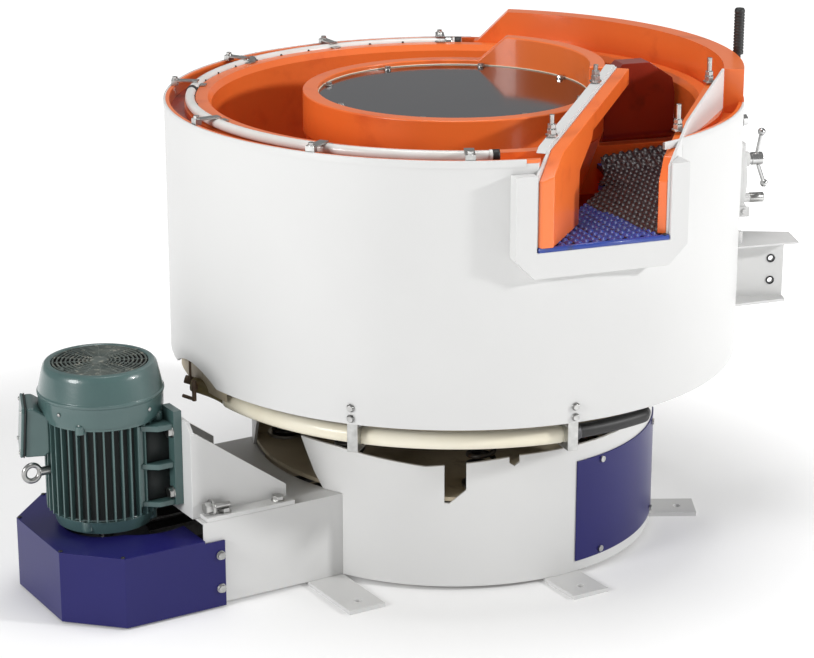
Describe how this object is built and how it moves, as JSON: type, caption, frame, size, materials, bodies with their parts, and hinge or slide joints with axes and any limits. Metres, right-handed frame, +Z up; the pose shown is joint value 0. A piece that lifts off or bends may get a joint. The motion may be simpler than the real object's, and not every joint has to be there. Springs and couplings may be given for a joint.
{
  "type": "vibratory finishing bowl",
  "caption": "Round sprung vibratory finishing bowl with a side discharge chute, separation flap and drain door, driven by an upright motor through belts in a low side housing.",
  "frame": {"origin": "on the bowl's axis at floor level", "axes": "+Z up along the bowl's axis; the belt housing and motor lie towards -X; the chute faces -Y, turned 10.3 degrees towards -X"},
  "size_m": [1.5507, 1.1448, 0.986],
  "materials": {
    "white_paint": "gloss",
    "blue_paint": "gloss",
    "motor_paint": "gloss",
    "orange_polyurethane": "satin",
    "blue_polyurethane": "satin",
    "cover_paint": "gloss",
    "zinc_steel": "satin",
    "bright_steel": "satin",
    "spring_steel": "satin",
    "cast_iron": "matte",
    "black_rubber": "matte",
    "coupling_rubber": "matte",
    "black_steel": "satin",
    "fan_plastic": "matte",
    "white_pipe": "gloss",
    "ivory_hose": "gloss"
  },
  "bodies": {
    "base": {"base_shell": "white_paint", "spring_deck": "white_paint", "foot_tabs": "white_paint", "access_cover": "blue_paint", "access_cover_screws": "zinc_steel", "belt_housing": "white_paint", "belt_guard": "blue_paint", "belt_guard_bolts": "zinc_steel", "drive_bearing_housing": "cast_iron", "drive_bearings": "bright_steel", "lower_spring_seats": "zinc_steel", "support_springs": "spring_steel", "v_belts": "black_rubber"},
    "motor_carriage": {"motor_bracket": "white_paint", "bracket_bolts": "zinc_steel", "motor_frame": "motor_paint", "motor_end_shield": "motor_paint", "motor_cowl": "motor_paint", "terminal_box": "motor_paint", "lifting_eye": "zinc_steel"},
    "motor_rotor": {"motor_shaft": "bright_steel", "motor_fan": "fan_plastic", "motor_pulley": "cast_iron"},
    "drive_shaft": {"drive_shaft": "bright_steel", "driven_pulley": "cast_iron", "coupling_lower": "cast_iron", "coupling_spider": "coupling_rubber"},
    "exciter": {"exciter_shaft": "bright_steel", "coupling_upper": "cast_iron", "lower_weight": "cast_iron", "upper_weight": "cast_iron"},
    "bowl": {"bowl_shell": "white_paint", "bowl_underframe": "white_paint", "upper_spring_seats": "zinc_steel", "exciter_housing": "cast_iron", "exciter_bearings": "bright_steel", "bowl_lining": "orange_polyurethane", "hub_lining": "orange_polyurethane", "channel_ramp": "orange_polyurethane", "hub_cover": "cover_paint", "hub_cover_bolts": "zinc_steel", "chute_frame": "white_paint", "left_cheek": "orange_polyurethane", "right_cheek": "orange_polyurethane", "cheek_plates": "white_paint", "cheek_clamps": "zinc_steel", "screen_deck": "blue_polyurethane", "spray_pipe": "white_pipe", "spray_clamps": "zinc_steel", "drain_pipe": "ivory_hose", "drain_hose_clamps": "zinc_steel", "shelf_bracket": "white_paint", "discharge_port": "white_paint"},
    "flap": {"separation_flap": "orange_polyurethane", "flap_shaft": "bright_steel", "flap_lever": "black_steel", "flap_grip": "black_rubber"},
    "discharge_door": {"discharge_door": "white_paint"},
    "clamp_collar": {"clamp_collar": "bright_steel"},
    "clamp_handle": {"clamp_handle": "bright_steel"}
  },
  "joints": [
    {"name": "motor_take_up", "type": "slide", "parent": "base", "child": "motor_carriage", "axis": [1, 0, 0], "range_m": [-0.015, 0.015], "deforming": ["v_belts"]},
    {"name": "bowl_bounce", "type": "slide", "parent": "base", "child": "bowl", "axis": [0, 0, 1], "range_m": [-0.008, 0.005], "stiffness_N_per_m": 150000, "springref_m": 0.03073, "deforming": ["support_springs"]},
    {"name": "exciter_spin", "type": "hinge", "parent": "bowl", "child": "exciter", "pos_m": [0, 0, 0.45], "axis": [0, 0, 1], "continuous": true},
    {"name": "drive_shaft_spin", "type": "hinge", "parent": "base", "child": "drive_shaft", "pos_m": [0, 0, 0.15], "axis": [0, 0, 1], "continuous": true},
    {"name": "rotor_spin", "type": "hinge", "parent": "motor_carriage", "child": "motor_rotor", "pos_m": [-0.752, 0, 0.25], "axis": [0, 0, 1], "continuous": true},
    {"name": "flap_swing", "type": "hinge", "parent": "bowl", "child": "flap", "pos_m": [0.34103, -0.07873, 0.76], "axis": [-0.9744, 0.225, 0], "range_deg": [0, 90]},
    {"name": "door_swing", "type": "hinge", "parent": "bowl", "child": "discharge_door", "pos_m": [0.54514, -0.20382, 0.6], "axis": [0.3502, 0.9367, 0], "range_deg": [0, 75]},
    {"name": "clamp_travel", "type": "slide", "parent": "discharge_door", "child": "clamp_collar", "axis": [0.9367, -0.3502, 0], "range_m": [0, 0.0121]},
    {"name": "clamp_turn", "type": "hinge", "parent": "clamp_collar", "child": "clamp_handle", "pos_m": [0.57043, -0.21328, 0.701], "axis": [0.9367, -0.3502, 0], "range_deg": [0, 1080]}
  ],
  "couplings": [
    {"joint": "drive_shaft_spin", "follows": "exciter_spin", "ratio": 1},
    {"joint": "rotor_spin", "follows": "exciter_spin", "ratio": 1.25},
    {"joint": "clamp_travel", "follows": "clamp_turn", "m_per_rad": 0.00063662}
  ]
}
